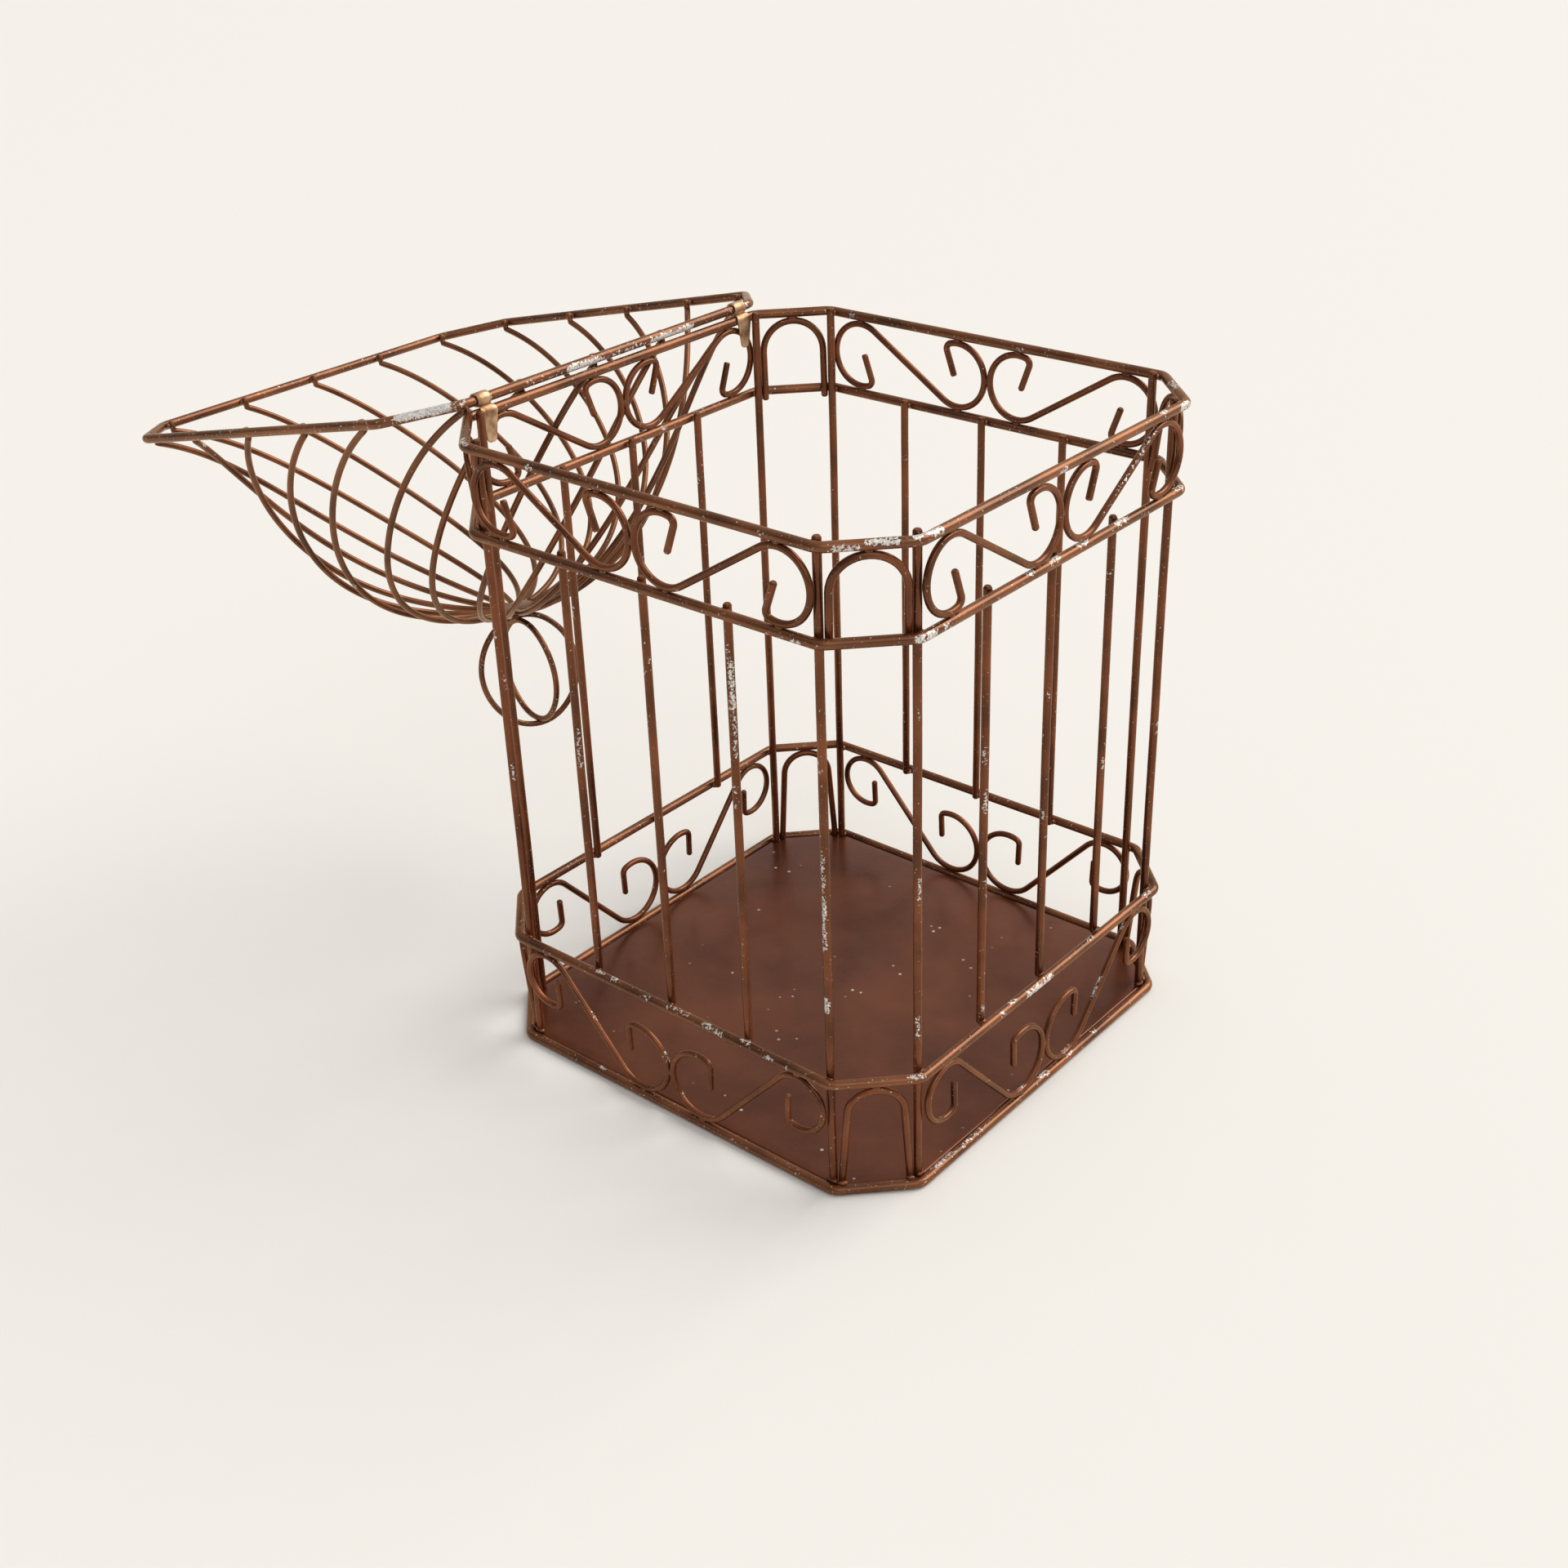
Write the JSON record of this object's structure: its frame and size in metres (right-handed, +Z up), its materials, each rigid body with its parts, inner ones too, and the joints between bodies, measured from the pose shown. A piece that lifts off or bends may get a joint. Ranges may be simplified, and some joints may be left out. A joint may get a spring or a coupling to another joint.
{
  "type": "card box",
  "caption": "Open wire card cage in a bird-cage shape: eight-sided barred body with scrolled bands, a sheet floor and a swirled-wire dome lid on a rear hinge",
  "frame": {"origin": "centre of the base, on the surface that the box stands on", "axes": "+Z up; -Y is the front; the lid hinges on the +Y side and its hinge axis runs along X"},
  "size_m": [0.167, 0.3283, 0.2088],
  "materials": {
    "ring_wire": "glossy copper-brown paint, chipped to bright metal at the bends",
    "painted_wire": "glossy copper-brown paint",
    "dome_wire": "glossy copper-brown paint with small chips",
    "lid_rim": "glossy copper-brown paint, worn to bright metal along the hinge",
    "clip_sheet": "dull brass-toned sheet",
    "floor_sheet": "semi-gloss mottled brown paint"
  },
  "bodies": {
    "cage": {"base_plate": "floor_sheet", "bottom_ring": "ring_wire", "lower_band_ring": "ring_wire", "upper_band_ring": "ring_wire", "top_ring": "ring_wire", "post_front_left": "painted_wire", "post_front_right": "painted_wire", "post_right_front": "painted_wire", "post_right_back": "painted_wire", "post_back_right": "painted_wire", "post_back_left": "painted_wire", "post_left_back": "painted_wire", "post_left_front": "painted_wire", "bars_front": "painted_wire", "bars_right": "painted_wire", "bars_back": "painted_wire", "bars_left": "painted_wire", "upper_scrolls_front": "painted_wire", "upper_scrolls_right": "painted_wire", "upper_scrolls_back": "painted_wire", "upper_scrolls_left": "painted_wire", "lower_scrolls_front": "painted_wire", "lower_scrolls_right": "painted_wire", "lower_scrolls_back": "painted_wire", "lower_scrolls_left": "painted_wire", "upper_arch_front_right": "painted_wire", "upper_arch_back_right": "painted_wire", "upper_arch_back_left": "painted_wire", "upper_arch_front_left": "painted_wire", "lower_arch_front_right": "painted_wire", "lower_arch_back_right": "painted_wire", "lower_arch_back_left": "painted_wire", "lower_arch_front_left": "painted_wire", "hinge_clip_left": "clip_sheet", "hinge_clip_right": "clip_sheet"},
    "lid": {"lid_ring": "lid_rim", "dome_wire_front_1": "dome_wire", "dome_wire_front_2": "dome_wire", "dome_wire_front_3": "dome_wire", "dome_wire_front_4": "dome_wire", "dome_wire_front_5": "dome_wire", "dome_wire_right_1": "dome_wire", "dome_wire_right_2": "dome_wire", "dome_wire_right_3": "dome_wire", "dome_wire_right_4": "dome_wire", "dome_wire_right_5": "dome_wire", "dome_wire_back_1": "dome_wire", "dome_wire_back_2": "dome_wire", "dome_wire_back_3": "dome_wire", "dome_wire_back_4": "dome_wire", "dome_wire_back_5": "dome_wire", "dome_wire_left_1": "dome_wire", "dome_wire_left_2": "dome_wire", "dome_wire_left_3": "dome_wire", "dome_wire_left_4": "dome_wire", "dome_wire_left_5": "dome_wire", "crown_boss": "painted_wire", "finial_loop_outer": "painted_wire", "finial_loop_inner": "painted_wire"}
  },
  "joints": [
    {"name": "lid_hinge", "type": "hinge", "parent": "cage", "child": "lid", "pos_m": [0, 0.08363, 0.2066], "axis": [1, 0, 0], "range_deg": [0, 193.2]}
  ]
}
